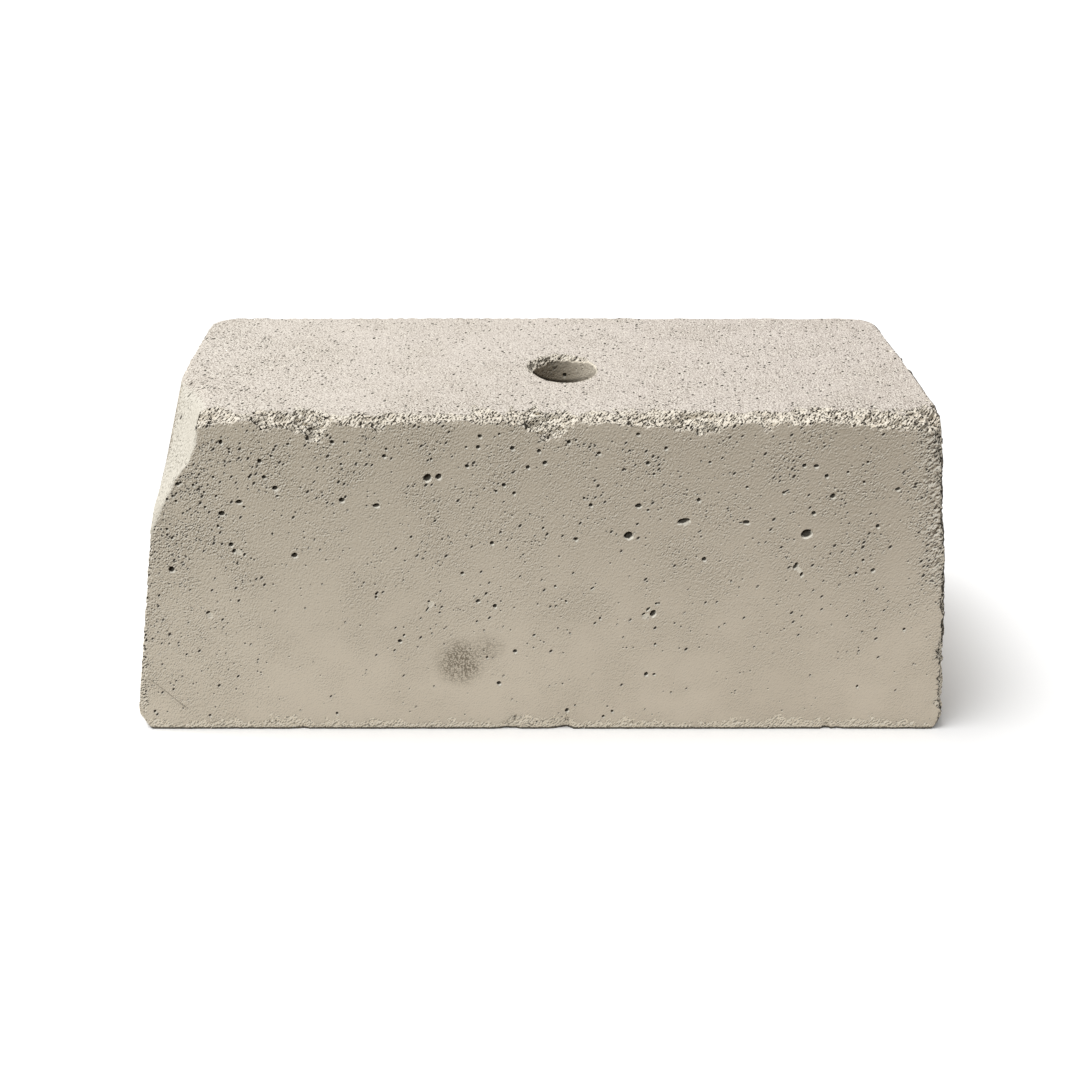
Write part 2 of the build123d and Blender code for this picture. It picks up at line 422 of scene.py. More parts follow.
# Small holes of the top and of the rod hole's wall, by pixel and width
top_holes = [
    (560, 349, 2), (538, 357.5, 2), (583, 347.5, 2.5), (596, 361.5, 2), (602.5, 370, 2.5), (567.5, 392.5, 2),
    (523.5, 386.5, 2), (374.4, 338, 3), (296.7, 355.2, 2.5), (303.9, 360.4, 2.5), (281, 398.7, 2.5),
    (269.6, 403, 2), (303.3, 399.3, 2), (256.3, 397.4, 2), (406.9, 395.6, 2.5), (402, 397.6, 2),
    (378.3, 372.8, 2.5), (372, 373.4, 2.5), (400, 348.5, 2), (414.6, 350.3, 2), (395, 372, 2),
    (398.2, 366.2, 2), (337.4, 343, 2), (353, 346.3, 2), (294, 347.8, 2), (265.3, 337, 2), (268.8, 339, 2),
    (408, 331.5, 2), (422.7, 341.7, 2), (302.5, 328.4, 2), (333, 361.2, 2), (244.8, 389, 2),
    (214.5, 338.7, 3), (205.3, 370.8, 3), (466, 332.8, 3), (502.6, 351.3, 3), (493.8, 338.7, 2),
    (534.5, 324.6, 2), (555.2, 325.5, 2), (512.6, 362.6, 2), (619, 348.3, 2), (610.7, 355.5, 2),
    (639.3, 357.8, 2), (679.5, 373.5, 3), (665.5, 378.2, 2), (624.3, 391.8, 2), (549.5, 394.8, 2),
    (507.9, 391.8, 2), (687.8, 332.8, 2), (708.3, 363.4, 3), (719.2, 338.2, 2), (745.3, 336.3, 2),
    (757, 336, 2), (735, 390.7, 2.5), (741, 382.6, 2), (768, 354.7, 2), (829.8, 385, 2.5), (807.3, 393, 2.5),
    (872, 406.3, 3.5), (888.2, 401.4, 2), (848.5, 360.7, 2), (844, 362.6, 2), (862, 342.4, 2),
    (855.8, 336.7, 2), (846.2, 337.6, 2), (878, 356.4, 2), (895, 371.4, 2), (828, 343.5, 2), (888, 351, 4),
    (565, 386, 3),
]
wall_holes = [(564.5, 375, 4), (568.5, 374.5, 2), (582, 368, 2), (586, 360, 2)]
hole_depth = 1.3
dish_depth = 0.4
sunk_size = 0.9 * mm
lit_lip = 0.9 * mm
air_holes = []


def add_air_hole(outward, place, length, breadth, tilt, depth):
    """Notes a pit at a place on a face, to be sunk later; depth is a share of its breadth."""
    level = Vector((0, 1, 0)) if outward.z > 0.9 else Vector((0, 0, 1))
    up = (level - outward * level.dot(outward)).normalized()
    along = up.cross(outward) * math.cos(math.radians(tilt)) + up * math.sin(math.radians(tilt))
    air_holes.append((outward, place, along, length / 2, breadth / 2, depth))


def on_wall(pixel_x, pixel_y):
    """Where a pixel of the photograph falls on the far wall of the rod hole."""
    sight = sight_line(pixel_x, pixel_y)
    across = Vector((camera_place.x - hole_centre[0], camera_place.y - hole_centre[1]))
    nearest = -across.dot(sight.xy) / sight.xy.length_squared
    beside = (across + sight.xy * nearest).length
    return camera_place + sight * (nearest + math.sqrt(hole_radius**2 - beside**2) / sight.xy.length)


scatter = random.Random(7)
for face, holes in (("front", front_holes), ("top", top_holes), ("wall", wall_holes)):
    for pixel_x, pixel_y, pixel_width in holes:
        stretch = 1 + 0.18 * scatter.random()
        tilt = scatter.uniform(5, 60)
        if face == "wall":
            place = on_wall(pixel_x, pixel_y)
            outward = Vector((hole_centre[0] - place.x, hole_centre[1] - place.y, 0)).normalized()
        else:
            place = on_face(face, pixel_x, pixel_y)
            outward = mould_faces[face][0]
        width = pixel_width * (place - camera_place).length / focal_pixels
        add_air_hole(outward, place, width * stretch, width / stretch, tilt, hole_depth)
for holes, depth in ((large_front_holes, hole_depth), (pale_dishes, dish_depth)):
    for pixel_x, pixel_y, length, breadth, tilt in holes:
        place = on_face("front", pixel_x, pixel_y)
        pixel_size = (place - camera_place).length / focal_pixels
        add_air_hole(mould_faces["front"][0], place, length * pixel_size, breadth * pixel_size, tilt, depth)
for face, count in (("left", 26), ("right", 26), ("back", 60)):
    for _ in range(count):
        height = block_height * (1 - 0.9 * scatter.random() ** 1.3)
        if face == "back":
            place = Vector((scatter.uniform(end_x(-1, height), end_x(1, height)), back_y(height), height))
        else:
            place = Vector((end_x(-1 if face == "left" else 1, height),
                            scatter.uniform(front_y(height), back_y(height)), height))
        width = (1.4 + 4.4 * scatter.random() ** 4) * mm
        stretch = 1 + 0.18 * scatter.random()
        outward = mould_faces[face][0]
        add_air_hole(outward, place, width * stretch, width / stretch, scatter.uniform(0, 180), hole_depth)


# Refining. Long edges are halved until the mesh is fine enough to hold the sandy broken edges
# and the pits, and stays coarse on the plain middles of the faces.
sandy_cell = (0.65 * mm, 0.95 * mm)
sandy_margin = 0.5 * mm
arris_cell = (1.0 * mm, 2.2 * mm)
arris_band = 2.5 * mm
hollow_cell = 0.8 * mm
hollow_band = 1.5 * mm
cell_growth = 1.0
pit_cell = 0.3
hidden_pit_cell = 0.5
smallest_cell = 1.1 * mm
refining_rounds = 6
longest_edge = 1.35


def wanted_cell(points):
    """Edge length that the mesh should have at each point."""
    gaps = face_gaps(points)
    from_arris = -np.sort([*gaps.values(), hole_gap(points)], axis=0)[-2]
    upper_half = points[:, 2] > block_height / 2
    on_arris = np.where(upper_half, *arris_cell)
    wanted = on_arris + cell_growth * np.maximum(from_arris - arris_band, 0)
    from_break = np.maximum(-sandy_break(points) - sandy_margin, 0)
    wanted = np.minimum(wanted, np.where(upper_half, *sandy_cell) + cell_growth * from_break)
    from_hollow = np.maximum(np.abs(hollow_gap(points, gaps)) - hollow_band, 0)
    wanted = np.minimum(wanted, hollow_cell + 0.5 * cell_growth * from_hollow)
    for outward, place, along, half_length, half_breadth, depth in air_holes:
        near = np.linalg.norm(points - np.array(place), axis=1)
        in_view = outward.dot(camera_place - place) > 0
        finest = max(smallest_cell, (pit_cell if in_view else hidden_pit_cell) * half_breadth)
        if in_view and half_breadth > sunk_size:
            finest = pit_cell * half_breadth
        wanted = np.minimum(wanted, finest + cell_growth * np.maximum(near - 1.3 * half_length, 0))
    return wanted


for _ in range(refining_rounds):
    bmesh.ops.triangulate(block, faces=block.faces, quad_method="BEAUTY", ngon_method="BEAUTY")
    edges = list(block.edges)
    ends = np.array([(*e.verts[0].co, *e.verts[1].co) for e in edges])
    length = np.linalg.norm(ends[:, 3:] - ends[:, :3], axis=1)
    too_long = length > longest_edge * wanted_cell((ends[:, 3:] + ends[:, :3]) / 2)
    bmesh.ops.subdivide_edges(block, edges=[edges[i] for i in np.flatnonzero(too_long)], cuts=1)
bmesh.ops.triangulate(block, faces=block.faces, quad_method="BEAUTY", ngon_method="BEAUTY")


# Wear. Handling has rounded and nicked the arrises, the breaks are rough with bare sand, and the base stands
# a little clear of the floor at its edge. The mesh is drawn in to that shape.
left_arris_radius = 0.8 * mm
right_arris_radius = 1.5 * mm
back_arris_radius = 14 * mm
top_arris_radius = 2.5 * mm
base_arris_radius = 0.5 * mm
break_radius = 1.5 * mm
hollow_top_radius = 7 * mm
hollow_front_radius = 0.8 * mm
nicked_band = 5 * mm
foot_rise = 0.1 * mm
foot_reach = 6 * mm
right_bulge = 2.2 * mm
bulge_half_depth = 75 * mm
nicks_at_foot = 0.4
foot_height = 8 * mm
bulged_edge = 8 * mm
hollow_front_band = 6 * mm
hollow_blend = 20 * mm
hollow_sandy_band = 7 * mm
bore_arris_radius = 0.4 * mm
wearing_rounds = 4
probe = 0.01 * mm
slant = Vector((0.62, 0.48, 0.62))
slant_stretch = 0.55


def ripple(points, size, octaves=3, shift=0.0):
    """Smooth seeded unevenness over points, from about -1 to 1, with a wavelength of that size."""
    moved = Vector((shift, 0, 0))
    return np.array([noise.fractal(Vector(p) / size + moved, 1.0, 2.0, octaves) for p in points])


def grains(points, size, shift=0.0):
    """Rounded grains over points, from about -0.5 in the creases between them to 0.5 on their crowns."""
    moved = Vector((shift, 0, 0))
    return np.array([0.5 - noise.voronoi(Vector(p) / size + moved)[0][0] for p in points])


def worn_edge(first, second, radius):
    """Distance outside two faces whose shared arris is worn to a radius."""
    beyond = np.hypot(np.maximum(first + radius, 0), np.maximum(second + radius, 0))
    return np.minimum(-radius, np.maximum(first, second)) + beyond


def worn_gaps(points):
    """Gaps from the mould faces, with the right end's top bulged out as it was cast."""
    gap = face_gaps(points)
    bulged = np.clip(points[:, 2] / block_height, 0, 1) ** 2
    bulged = bulged * np.clip(1 - (points[:, 1] / bulge_half_depth) ** 2, 0, 1)
    gap["right"] = gap["right"] - right_bulge * bulged
    return gap


def worn_block(points, wear):
    """Distance outside the worn block; wear holds the unevenness of each point."""
    gap = worn_gaps(points)
    front_radius = np.where(points[:, 0] > 0, right_arris_radius, left_arris_radius)
    upright_radius = np.where(points[:, 1] > 0, back_arris_radius, front_radius)
    ends = np.maximum(gap["left"], gap["right"])
    sides = worn_edge(ends, np.maximum(gap["front"], gap["back"]), upright_radius)
    top_radius = top_arris_radius + wear["wobble"]
    top_radius = np.where(gap["right"] > -bulged_edge, right_arris_radius, top_radius)
    shape = worn_edge(sides, gap["top"], top_radius)
    shape = worn_edge(shape, gap["base"], base_arris_radius)
    on_arris = np.clip(1 + np.sort(list(gap.values()), axis=0)[-2] / nicked_band, 0, 1)
    shape = shape + wear["nicks"] * on_arris * np.where(points[:, 2] < foot_height, nicks_at_foot, 1)
    shape = np.maximum(shape, slope_outside(sides, gap["base"], foot_rise, foot_reach))
    for outward, foot in flat_breaks:
        shape = worn_edge(shape, (points - foot) @ outward + wear["sand"], break_radius)
    from_front = np.clip((-gap["front"] - hollow_front_band) / hollow_blend, 0, 1)
    hollow_edge = hollow_front_radius + (hollow_top_radius - hollow_front_radius) * from_front
    hollow_sand = wear["sand"] * (0.15 + 0.85 * np.clip(1 + gap["front"] / hollow_sandy_band, 0, 1))
    shape = worn_edge(shape, hollow_gap(points, gap) + hollow_sand, hollow_edge)
    shape = worn_edge(shape, hole_gap(points), bore_arris_radius)
    for edge_break in edge_breaks:
        shape = np.maximum(shape, edge_slope(points, gap, edge_break, wear["fray"], wear["sand"]))
    return np.maximum(shape, rim_slope(points, gap, wear["fray"], wear["sand"]))


points = np.array([v.co for v in block.verts])
slanted = points - slant_stretch * (points @ np.array(slant))[:, None] * np.array(slant)
cavity = cavity_share(points)
rougher = np.interp(points[:, 0], (0, 0.15), (1, 0.4))
wear = {
    "wobble": 1.0 * mm * ripple(points, 30 * mm, octaves=2, shift=5.3),
    "nicks": 0.8 * mm * rougher * ripple(points, 3.5 * mm, shift=6.1)
    + 0.4 * mm * ripple(points, 24 * mm, shift=2.6)
    + 0.8 * mm * rougher * np.clip(ripple(points, 9 * mm) - 0.3, 0, 1),
    "fray": np.clip(
        0.5 * ripple(points, 7 * mm, shift=1.9) + 0.4 * ripple(points, 2.6 * mm, shift=4.4), -0.5, 0.6
    ),
    "sand": 0.3 * mm * ripple(slanted, 5 * mm, shift=3.7)
    - 0.35 * mm * grains(slanted, 1.7 * mm, shift=9.1)
    + 0.4 * mm * cavity,
}
for _ in range(wearing_rounds):
    distance = worn_block(points, wear)
    slope = np.stack([
        (worn_block(points + probe * np.eye(3)[axis], wear) - distance) / probe for axis in range(3)
    ], axis=1)
    steepness = np.maximum((slope**2).sum(axis=1), 0.25)
    points = points - slope * (distance / steepness)[:, None]

# Marks of the wear, kept on the mesh for its finish: bare sand and the smooth hollow, with painted light for
# the deep chips and painted shade for the cavities, the foot, the crumbled rim and the right end's top arris
torn_height = 165 * mm
torn_fade = 25 * mm
chip_light_band = 22 * mm
chip_light_end = 150 * mm
low_height = 20 * mm
low_painted_shade, high_painted_shade = 0.7, 0.52

gaps = worn_gaps(points)
sandy_fade = 1.2 * mm + 1.8 * mm * np.clip(1 + gaps["top"] / (1.5 * mm), 0, 1)
sandy = np.clip(0.7 + sandy_break(points, wear["fray"], wear["sand"]) / sandy_fade, 0, 1)
bared_edge = np.where(gaps["front"] > -6 * mm, 1.5 * mm, 5 * mm)
bared = np.clip(1 + hollow_gap(points, gaps) / bared_edge, 0, 1)
torn = np.clip(1 - np.abs(hollow_gap(points, gaps) + 2 * mm) / (6 * mm), 0, 1) * (gaps["front"] > -4 * mm)
sandy = np.maximum(sandy, 0.5 * torn * np.clip((torn_height - points[:, 2]) / torn_fade, 0, 1))
# Painted contact shadow along the foot, where the block meets the floor
foot = np.clip(1.6 - points[:, 2] / (1.2 * mm), 0, 1)
# Painted light on the deep chips of the top front edge, lifting their shade
chip_light = np.clip((edge_reach(points, edge_breaks[0])[1] - 4 * mm) / (3 * mm), 0, 1)
chip_light = chip_light * (np.maximum(-gaps["top"], -gaps["front"]) < chip_light_band) * (points[:, 0] < chip_light_end)
# Painted shade on the crumbled back and left of the rod hole's rim, which faces away from the daylight
crumbled = 0.34 * np.clip(1 + rim_slope(points, gaps, wear["fray"], wear["sand"]) / (0.6 * mm), 0, 1)
# Painted shade along the right end's top arris, turned away from the daylight
brink = 0.75 * np.clip(1.5 + gaps["right"] / (1.4 * mm), 0, 1) * (points[:, 2] > block_height - 3 * mm)
# Painted shade in the cavities, stronger low down
painted_shade_limit = np.where(points[:, 2] < low_height, low_painted_shade, high_painted_shade)
in_cavities = np.clip(1.1 * cavity, 0, painted_shade_limit) * sandy
painted_shade = np.max([in_cavities, foot, crumbled, brink], axis=0)

# Pits of the mesh. Each triangle belongs to the nearest air hole, and its corners note where they lie in it,
# as shares of its size towards the light, beside that and clear of the face. The larger ones are sunk.
triangles = np.array([[v.index for v in f.verts] for f in block.faces])
middles = points[triangles].mean(axis=1)
in_hole = np.full((len(triangles), 3, 3), 9.0)
lip = np.zeros((len(triangles), 3))
nearest = np.full(len(triangles), 3 * mm)
dish = np.zeros(len(points))
sunk = np.zeros((len(points), 3))
for outward, place, along, half_length, half_breadth, depth in air_holes:
    across = outward.cross(along)
    light = daylight_toward if daylight_toward.dot(outward) > 0 else Vector((0, 0, 1))
    light = Vector((light.dot(along) / half_length, light.dot(across) / half_breadth)).normalized()
    lengthways, breadthways = along / half_length, across / half_breadth
    ways = np.array([
        lengthways * light.x + breadthways * light.y,
        breadthways * light.x - lengthways * light.y,
        outward / half_breadth,
    ]).T
    hole_lip = min(max(lit_lip / half_breadth, 0.35), 1.1)
    if half_breadth > sunk_size:
        near = np.flatnonzero(((points - np.array(place)) ** 2).sum(axis=1) < (1.8 * half_length) ** 2)
        shares = (points[near] - np.array(place)) @ ways
        spread = np.hypot(shares[:, 0], shares[:, 1])
        spread = spread + 0.2 * ripple(points[near], 1.5 * half_breadth, octaves=2, shift=2.2)
        bowl = np.sqrt(np.clip(1 - spread**2, 0, 1)) * (np.abs(shares[:, 2]) < 1)
        sunk[near] -= (bowl * depth * half_breadth)[:, None] * np.array(outward)
        if depth == dish_depth:
            dish[near] = np.maximum(dish[near], bowl)
    if depth == hole_depth:
        near = np.flatnonzero(((middles - np.array(place)) ** 2).sum(axis=1) < (half_length + 3 * mm) ** 2)
        beyond = (np.linalg.norm((middles[near] - np.array(place)) @ ways, axis=1) - 1) * half_breadth
        owned = near[beyond < nearest[near]]
        nearest[owned] = beyond[beyond < nearest[near]]
        in_hole[owned] = (points[triangles[owned]] - np.array(place)) @ ways
        lip[owned] = hole_lip
points = points + sunk
for v, place in zip(block.verts, points):
    v.co = place
for f in block.faces:
    f.smooth = True

block_mesh = bpy.data.meshes.new("cast_block")
block.to_mesh(block_mesh)
block.free()
marks = {"sandy": sandy, "bared": bared, "painted_shade": painted_shade, "chip_light": chip_light, "dish": dish}
for name, values in marks.items():
    mark = block_mesh.attributes.new(name, "FLOAT", "POINT")
    mark.data.foreach_set("value", values.astype(np.float32))
hole_lips = block_mesh.attributes.new("lip", "FLOAT", "CORNER")
hole_lips.data.foreach_set("value", lip.astype(np.float32).ravel())
hole_places = block_mesh.attributes.new("in_hole", "FLOAT_VECTOR", "CORNER")
hole_places.data.foreach_set("vector", in_hole.astype(np.float32).ravel())
cast_block = bpy.data.objects.new("cast_block", block_mesh)
bpy.context.scene.collection.objects.link(cast_block)
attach(cast_block, "root")
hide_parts("anchor_block")


# Concrete finish. Pale warm grey cement with sand in it: cloudy in tone, peppered with pinholes, rough and
# speckled where the skin has broken away, stained and scratched in places. Painted shade darkens the sides
# upwards and the block to the right, the air holes, pinholes and gaps and the arrises turned from the
# daylight, and painted highlights light the grain, the lips of the holes and the chips.
class Shade:
    """A value in a material's nodes: sums and products of shades add their own nodes."""

    def __init__(self, tree, socket=None):
        self.tree = tree
        self.socket = socket

    def add(self, node_type, settings=None, sockets=None, output=0):
        """Adds a node with its settings and its sockets' values or links, and returns one of its outputs."""
        node = self.tree.nodes.new(node_type)
        for name, value in (settings or {}).items():
            setattr(node, name, value)
        for key, value in (sockets or {}).items():
            if isinstance(value, Shade):
                self.tree.links.new(value.socket, node.inputs[key])
            else:
                node.inputs[key].default_value = value
        return Shade(self.tree, node.outputs[output])

    def maths(self, operation, first, second=0.0):
        return self.add("ShaderNodeMath", {"operation": operation}, {0: first, 1: second})

    def __add__(self, other):
        return self.maths("ADD", self, other)

    def __sub__(self, other):
        return self.maths("SUBTRACT", self, other)

    def __rsub__(self, other):
        return self.maths("SUBTRACT", other, self)

    def __mul__(self, other):
        return self.maths("MULTIPLY", self, other)

    __radd__ = __add__
    __rmul__ = __mul__

    def ramp(self, start, end):
        """0 below start, 1 above end, eased between them."""
        return self.add("ShaderNodeMapRange", {"interpolation_type": "SMOOTHSTEP"},
                        {"Value": self, "From Min": start, "From Max": end})

    def mix(self, first, second):
        """A colour between two others, by this shade."""
        return self.add("ShaderNodeMix", {"data_type": "RGBA"}, {0: self, 6: first, 7: second}, 2)

    def noise(self, scale, detail=4.0, roughness=0.55):
        """Noise over this place, about 0.5 in the middle."""
        return self.add("ShaderNodeTexNoise", None,
                        {"Vector": self, "Scale": scale, "Detail": detail, "Roughness": roughness})

    def dots(self, scale, share, radius):
        """Round dots over this place, in a share of the cells of a scattered pattern."""
        reach = self.add("ShaderNodeTexVoronoi", None, {"Vector": self, "Scale": scale})
        cell = Shade(self.tree, reach.socket.node.outputs["Color"])
        pick = self.add("ShaderNodeSeparateColor", None, {0: cell})
        size = (Shade(self.tree, pick.socket.node.outputs[1]) * 0.6 + 0.4) * radius
        return (1 - reach.ramp(size * 0.6, size)) * (share - pick).ramp(-0.02, 0.02)

    def part(self, axis):
        """One coordinate of this place."""
        return self.add("ShaderNodeSeparateXYZ", None, {0: self}, axis)

    def vector(self, operation, other, output=0):
        """Vector maths on this place and another one."""
        return self.add("ShaderNodeVectorMath", {"operation": operation}, {0: self, 1: other}, output)

    def stretched(self, way, share):
        """This place drawn in along a way, which stretches a pattern on it."""
        reach = self.vector("DOT_PRODUCT", way, 1)
        drawn = self.add("ShaderNodeVectorMath", {"operation": "SCALE"}, {0: way, "Scale": reach * share})
        return self.vector("SUBTRACT", drawn)

    def from_place(self, middle):
        """How far this place lies from a middle."""
        return self.vector("DISTANCE", middle, 1)

    def along(self, start, way):
        """How far this place lies from a start, measured along a way."""
        return self.vector("SUBTRACT", start).vector("DOT_PRODUCT", way, 1)


def srgb(red, green, blue):
    """Linear colour, with alpha, of a colour written as 0 to 255."""
    linear = [c / 255 / 12.92 if c <= 10 else ((c / 255 + 0.055) / 1.055) ** 2.4 for c in (red, green, blue)]
    return (*linear, 1)


grit_scale = 1450.0
strip_shading_scale = 520.0
sand_scale = 900.0
pinhole_scale = 420.0
speck_scale = 560.0
lit_shift = 0.5 * mm
strip_shading_shift = 1.2 * mm
mouth_slope = 0.865

concrete = bpy.data.materials.new("concrete")
concrete.use_nodes = True
tree = concrete.node_tree
shader = tree.nodes["Principled BSDF"]
shader.inputs["Specular IOR Level"].default_value = 0.05
shader.inputs["Roughness"].default_value = 0.95
start = Shade(tree)
place = start.add("ShaderNodeTexCoord", output=3)
sandy_skin, bared_skin, painted_shade_mark, chip_light_mark, lip_width, dished = (
    start.add("ShaderNodeAttribute", {"attribute_name": name}, output=2)
    for name in ("sandy", "bared", "painted_shade", "chip_light", "lip", "dish")
)
hole_place = start.add("ShaderNodeAttribute", {"attribute_name": "in_hole"}, output=1)
across, inward, height = place.part(0), place.part(1), place.part(2)
facing = start.add("ShaderNodeNewGeometry", output="Normal")
upward = facing.part(2).ramp(0.5, 0.9)
turned_right = facing.part(0).ramp(0.4, 0.65)
upper = height.ramp(10 * mm, 175 * mm)
rightward = across.ramp(-0.25, 0.25)
leftmost = 1 - (across - height * math.tan(left_draft)).ramp(-0.225, -0.12)
rightmost = (across + height * math.tan(right_draft)).ramp(0.2, 0.222)

lit_place = place.vector("ADD", daylight_toward * lit_shift)
slanted_place = place.stretched(slant, slant_stretch)
lit_slanted = lit_place.stretched(slant, slant_stretch)
cloud = place.noise(11.0)
patch = place.noise(42.0)
grit = slanted_place.noise(grit_scale, 1.0, 0.6)
away = lit_slanted.noise(grit_scale, 1.0, 0.6) - grit
fine = place.noise(1100.0, 1.0, 0.6)
broken = (sandy_skin + (grit - 0.5) * 1.4).ramp(0.4, 0.6)
pale = (bared_skin + (grit - 0.5) * 1.2).ramp(0.4, 0.7)
near_front = upward * (1 - inward.ramp(-70 * mm, -40 * mm))
hole_across, hole_inward = across - hole_centre[0], inward - hole_centre[1]
from_axis = hole_across * hole_across + hole_inward * hole_inward
in_bore = 1 - from_axis.ramp((hole_radius + 0.1 * mm) ** 2, (hole_radius + 0.8 * mm) ** 2)
upright = 1 - upward
from_front = inward - height * math.tan(front_draft)
beside_front = 1 - from_front.ramp(2 * mm - base_depth / 2, 6 * mm - base_depth / 2)
grainy = 0.2 + upper * 0.45 + leftmost * 0.35 + rightmost * upper * upright * beside_front * 0.9
grainy = grainy + near_front * 0.3 + in_bore * 0.4 + upward * rightward * 0.2
grainy = grainy * (1 + (patch.ramp(0.38, 0.62) * 0.8 - 0.3) * (upright * 0.75 + 0.25))
pitted = grainy * grainy * (1 - pale * 0.9)

# Painted shade: the sides darken upwards, standing in for less light thrown up from the floor, and sides and
# top darken to the right, standing in for light falling off that way
side_tone = rightward.mix(srgb(222, 211, 193), srgb(221, 209, 191))
side_tone = (upper * 0.75).mix(side_tone, rightward.mix(srgb(195, 185, 167), srgb(180, 169, 153)))
top_tone = rightward.mix(srgb(221, 212, 201), srgb(208, 198, 189))
colour = upward.mix(side_tone, top_tone)
colour = ((cloud * 0.6 + patch * 0.4).ramp(0.4, 0.65) * 0.22).mix(colour, srgb(172, 161, 143))
colour = (pale * 0.85).mix(colour, srgb(223, 218, 205))
# Painted highlight and shade of the grit: each grain is painted light on its side towards the daylight and
# dark on its far side
grit_shading_share = grainy * (1 - pale * 0.5)
colour = ((0 - away).ramp(0.06, 0.2) * grit_shading_share * 0.75).mix(colour, srgb(248, 243, 231))
colour = (away.ramp(0.06, 0.2) * grit_shading_share * 0.75).mix(colour, srgb(82, 72, 58))

# Painted highlights and shade of a rough strip on the front beside its right arris, lit and shaded along the
# daylight
far_place = place.vector("ADD", daylight_toward * strip_shading_shift)
far_slanted = far_place.stretched(slant, slant_stretch)
strip_shading = far_slanted.noise(strip_shading_scale, 1.0, 0.6) - slanted_place.noise(strip_shading_scale, 1.0, 0.6)
beside_right = (across + height * math.tan(right_draft)).ramp(0.209, 0.222)
shaded_strip = beside_right * upper.ramp(0.25, 0.75) * upright * beside_front
colour = ((0 - strip_shading).ramp(0.05, 0.16) * shaded_strip * 0.8).mix(colour, srgb(248, 243, 231))
colour = (strip_shading.ramp(0.05, 0.16) * shaded_strip * 0.9).mix(colour, srgb(70, 60, 47))

# Bare sand of the breaks, with painted light lifting the deep chips and the broken lip along the base,
# painted highlights on the grains' sides towards the daylight, and painted shade on their far sides, in the
# holes where grains have fallen out and from the marked shade
crowns = slanted_place.add("ShaderNodeTexVoronoi", None, {"Vector": slanted_place, "Scale": sand_scale})
lit_crowns = slanted_place.add("ShaderNodeTexVoronoi", None, {"Vector": lit_slanted, "Scale": sand_scale})
sand_away = crowns - lit_crowns + away * 0.5
colour = (broken * 0.85).mix(colour, srgb(228, 218, 200))
colour = (broken * chip_light_mark * 0.9).mix(colour, srgb(255, 247, 231))
low = 1 - height.ramp(8 * mm, 20 * mm)
colour = (broken * low * 0.75).mix(colour, srgb(247, 235, 214))
colour = ((0 - sand_away).ramp(0.05, 0.25) * broken * 0.75).mix(colour, srgb(250, 243, 229))
bare_holes = place.dots(520.0, 0.24, 0.42) * broken
painted_shade = (painted_shade_mark + (grit - 0.5) * 1.2).ramp(0.4, 0.65)
gaps_between = sand_away.ramp(0.07, 0.2) * broken * (1 - low * 0.45)
gaps_between = broken.maths("MAXIMUM", gaps_between, broken.maths("MAXIMUM", bare_holes * 0.7, painted_shade * 0.85))
colour = gaps_between.mix(colour, srgb(36, 30, 23))

# Pinholes and specks of the skin: painted shade inside them, with a painted highlight on the lip on the side
# away from the daylight
pin_share = pitted * (0.45 + upright * 0.2)
speck_share = pitted * (0.25 + upright * 0.3) + upward * 0.08
pinholes = slanted_place.dots(pinhole_scale, pin_share, 0.36)
specks = place.dots(speck_scale, speck_share, 0.42)
pin_lips = lit_slanted.dots(pinhole_scale, pin_share, 0.4)
speck_lips = lit_place.dots(speck_scale, speck_share, 0.46)
colour = pin_lips.maths("MAXIMUM", pin_lips * 0.9, speck_lips * 0.8).mix(colour, srgb(252, 244, 228))
colour = pinholes.maths("MAXIMUM", pinholes * 0.95, specks * 0.85).mix(colour, srgb(38, 31, 24))

# Air holes, the same way: painted shade in their cores, darkest on the side towards the daylight, and a
# painted highlight on the lip beyond, with the shallow dishes painted as pale as the lips
uneven = (place.noise(600.0, 1.0) - 0.5) * 0.5
hole_reach = hole_place.from_place((0, 0, 0)) + uneven
lip_middle = start.add("ShaderNodeCombineXYZ", None, {0: 0 - lip_width})
lip_reach = hole_place.from_place(lip_middle) + uneven
lip_highlight = 1 - lip_reach.ramp(0.85, 1.1)
lip_highlight = lip_highlight.maths("MAXIMUM", lip_highlight, dished.ramp(0.1, 0.6) * 0.6)
bowls = 1 - lip_reach.ramp(0.5, 1.15)
colour = lip_highlight.mix(colour, srgb(255, 249, 234))
toward_light = hole_place.part(0)
hole_core_shade = 1 - hole_reach.ramp(0.8, 1.0)
colour = (hole_core_shade * (0.8 + toward_light.ramp(-0.8, 0.3) * 0.2)).mix(colour, srgb(34, 24, 10))

# Rod hole: painted shade down its left wall, which faces away from the daylight, painted light on its right
# wall, and painted shade deeper down
painted_bore_shade = in_bore * (1 - hole_across.ramp(-15 * mm, 2 * mm))
colour = (painted_bore_shade * 0.55).mix(colour, srgb(112, 97, 76))
painted_bore_light = in_bore * hole_across.ramp(-10 * mm, 10 * mm)
colour = (painted_bore_light * 0.85).mix(colour, srgb(255, 244, 224))
depth = block_height - height - hole_inward * mouth_slope
painted_deep_shade = in_bore * depth.ramp(-1.8 * mm, -0.4 * mm) * (1 - hole_across.ramp(0, 16 * mm) * 0.7)
colour = (painted_deep_shade * 0.8).mix(colour, srgb(40, 33, 25))

# Painted shade along the arris that turns to the right, away from the daylight, down the front and over the
# top
beside_top = height.ramp(block_height - 3 * mm, block_height - 1 * mm)
arris_shade = turned_right * beside_front.maths("MAXIMUM", beside_front * 0.9, beside_top * 0.6)
colour = arris_shade.mix(colour, srgb(38, 31, 24))

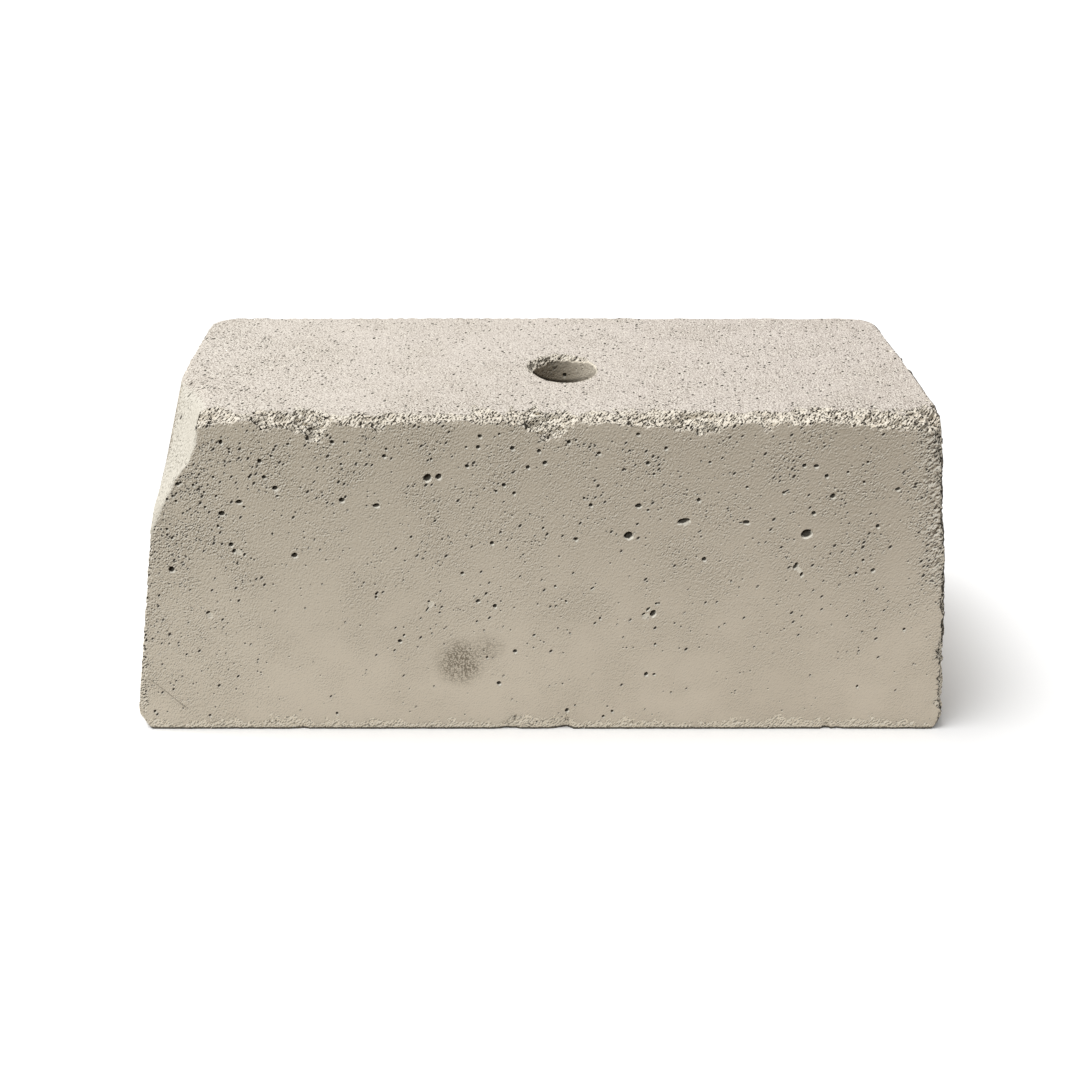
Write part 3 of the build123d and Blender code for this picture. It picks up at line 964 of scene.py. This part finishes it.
# Dark stain near the front's foot, in two lobes
stain_middle = on_face("front", 461, 661)
stain_lobe = on_face("front", 484, 650)
ragged = (patch - 0.5) * 14 * mm
stain = 1 - (place.from_place(stain_middle) + ragged).ramp(4 * mm, 18 * mm)
lobe = 1 - (place.from_place(stain_lobe) + ragged).ramp(1 * mm, 13 * mm)
stain = stain.maths("MAXIMUM", stain, lobe * 0.6) * (0.12 + fine.ramp(0.44, 0.56) * 0.6)
colour = stain.mix(colour, srgb(84, 73, 54))

# Hairline crack low on the front's left, and a scratch beside the rod hole
scores = []
for face, first_pixel, last_pixel, half_width in (
    ("front", (149, 678), (187, 708), 0.35 * mm),
    ("top", (530, 384), (538, 382.5), 0.6 * mm),
):
    first, last = on_face(face, *first_pixel), on_face(face, *last_pixel)
    way = (last - first).normalized()
    sideways = mould_faces[face][0].cross(way)
    beside = place.along(first, sideways) + (patch - 0.5) * 1.5 * mm
    lengthways = place.along(first, way)
    length = (last - first).length
    run = lengthways.ramp(-1 * mm, 1 * mm) * (1 - lengthways.ramp(length - 2 * mm, length + 2 * mm))
    line = 1 - beside.maths("ABSOLUTE", beside).ramp(0.3 * half_width, half_width)
    scores.append(line * run)
score = scores[0].maths("MAXIMUM", *scores)
colour = (score * 0.3).mix(colour, srgb(92, 80, 62))
tree.links.new(colour.socket, shader.inputs["Base Color"])

relief = grit * grainy * 0.4 - pin_lips * 0.5 - score * 0.3 - crowns * broken * 0.4 - bowls * 0.6
bump = start.add("ShaderNodeBump", None, {"Strength": 1.0, "Distance": mm, "Height": relief})
tree.links.new(bump.socket, shader.inputs["Normal"])
block_mesh.materials.append(concrete)


# Floor and light. A plain pale floor under soft daylight from the upper left, with an even sky.
floor_size = 30.0
sky_level = 0.4
key_level = 2.65
key_spread = math.radians(32)
floor_tone = 1.02

floor_shape = bmesh.new()
bmesh.ops.create_grid(floor_shape, x_segments=1, y_segments=1, size=floor_size / 2)
floor_mesh = bpy.data.meshes.new("floor")
floor_shape.to_mesh(floor_mesh)
floor_shape.free()
floor = bpy.data.objects.new("floor", floor_mesh)
bpy.context.scene.collection.objects.link(floor)
paper = bpy.data.materials.new("floor_paper")
paper.use_nodes = True
paper_tree = paper.node_tree
paper_shader = paper_tree.nodes["Principled BSDF"]
paper_shader.inputs["Roughness"].default_value = 1.0
paper_shader.inputs["Specular IOR Level"].default_value = 0.0
seen = Shade(paper_tree).add("ShaderNodeLightPath", output="Is Camera Ray")
paper_colour = seen.mix((0.85, 0.84, 0.81, 1), (floor_tone, floor_tone, floor_tone, 1))
paper_tree.links.new(paper_colour.socket, paper_shader.inputs["Base Color"])
floor_mesh.materials.append(paper)

sky = bpy.data.worlds.new("studio")
sky.use_nodes = True
sky_tree = sky.node_tree
sky_light = sky_tree.nodes["Background"]
sky_light.inputs["Color"].default_value = (1, 1, 1, 1)
path = Shade(sky_tree).add("ShaderNodeLightPath", output="Is Camera Ray")
glossy = Shade(sky_tree, path.socket.node.outputs["Is Glossy Ray"])
through = Shade(sky_tree, path.socket.node.outputs["Is Transmission Ray"])
looked_at = path.maths("MAXIMUM", path, path.maths("MAXIMUM", glossy, through))
sky_strength = looked_at * (1 - sky_level) + sky_level
sky_tree.links.new(sky_strength.socket, sky_light.inputs["Strength"])
bpy.context.scene.world = sky

key_data = bpy.data.lights.new("key", "SUN")
key_data.energy = key_level
key_data.angle = key_spread
key = bpy.data.objects.new("key", key_data)
key.rotation_euler = daylight_toward.to_track_quat("Z", "Y").to_euler()
bpy.context.scene.collection.objects.link(key)

bpy.context.scene.view_settings.view_transform = "Standard"
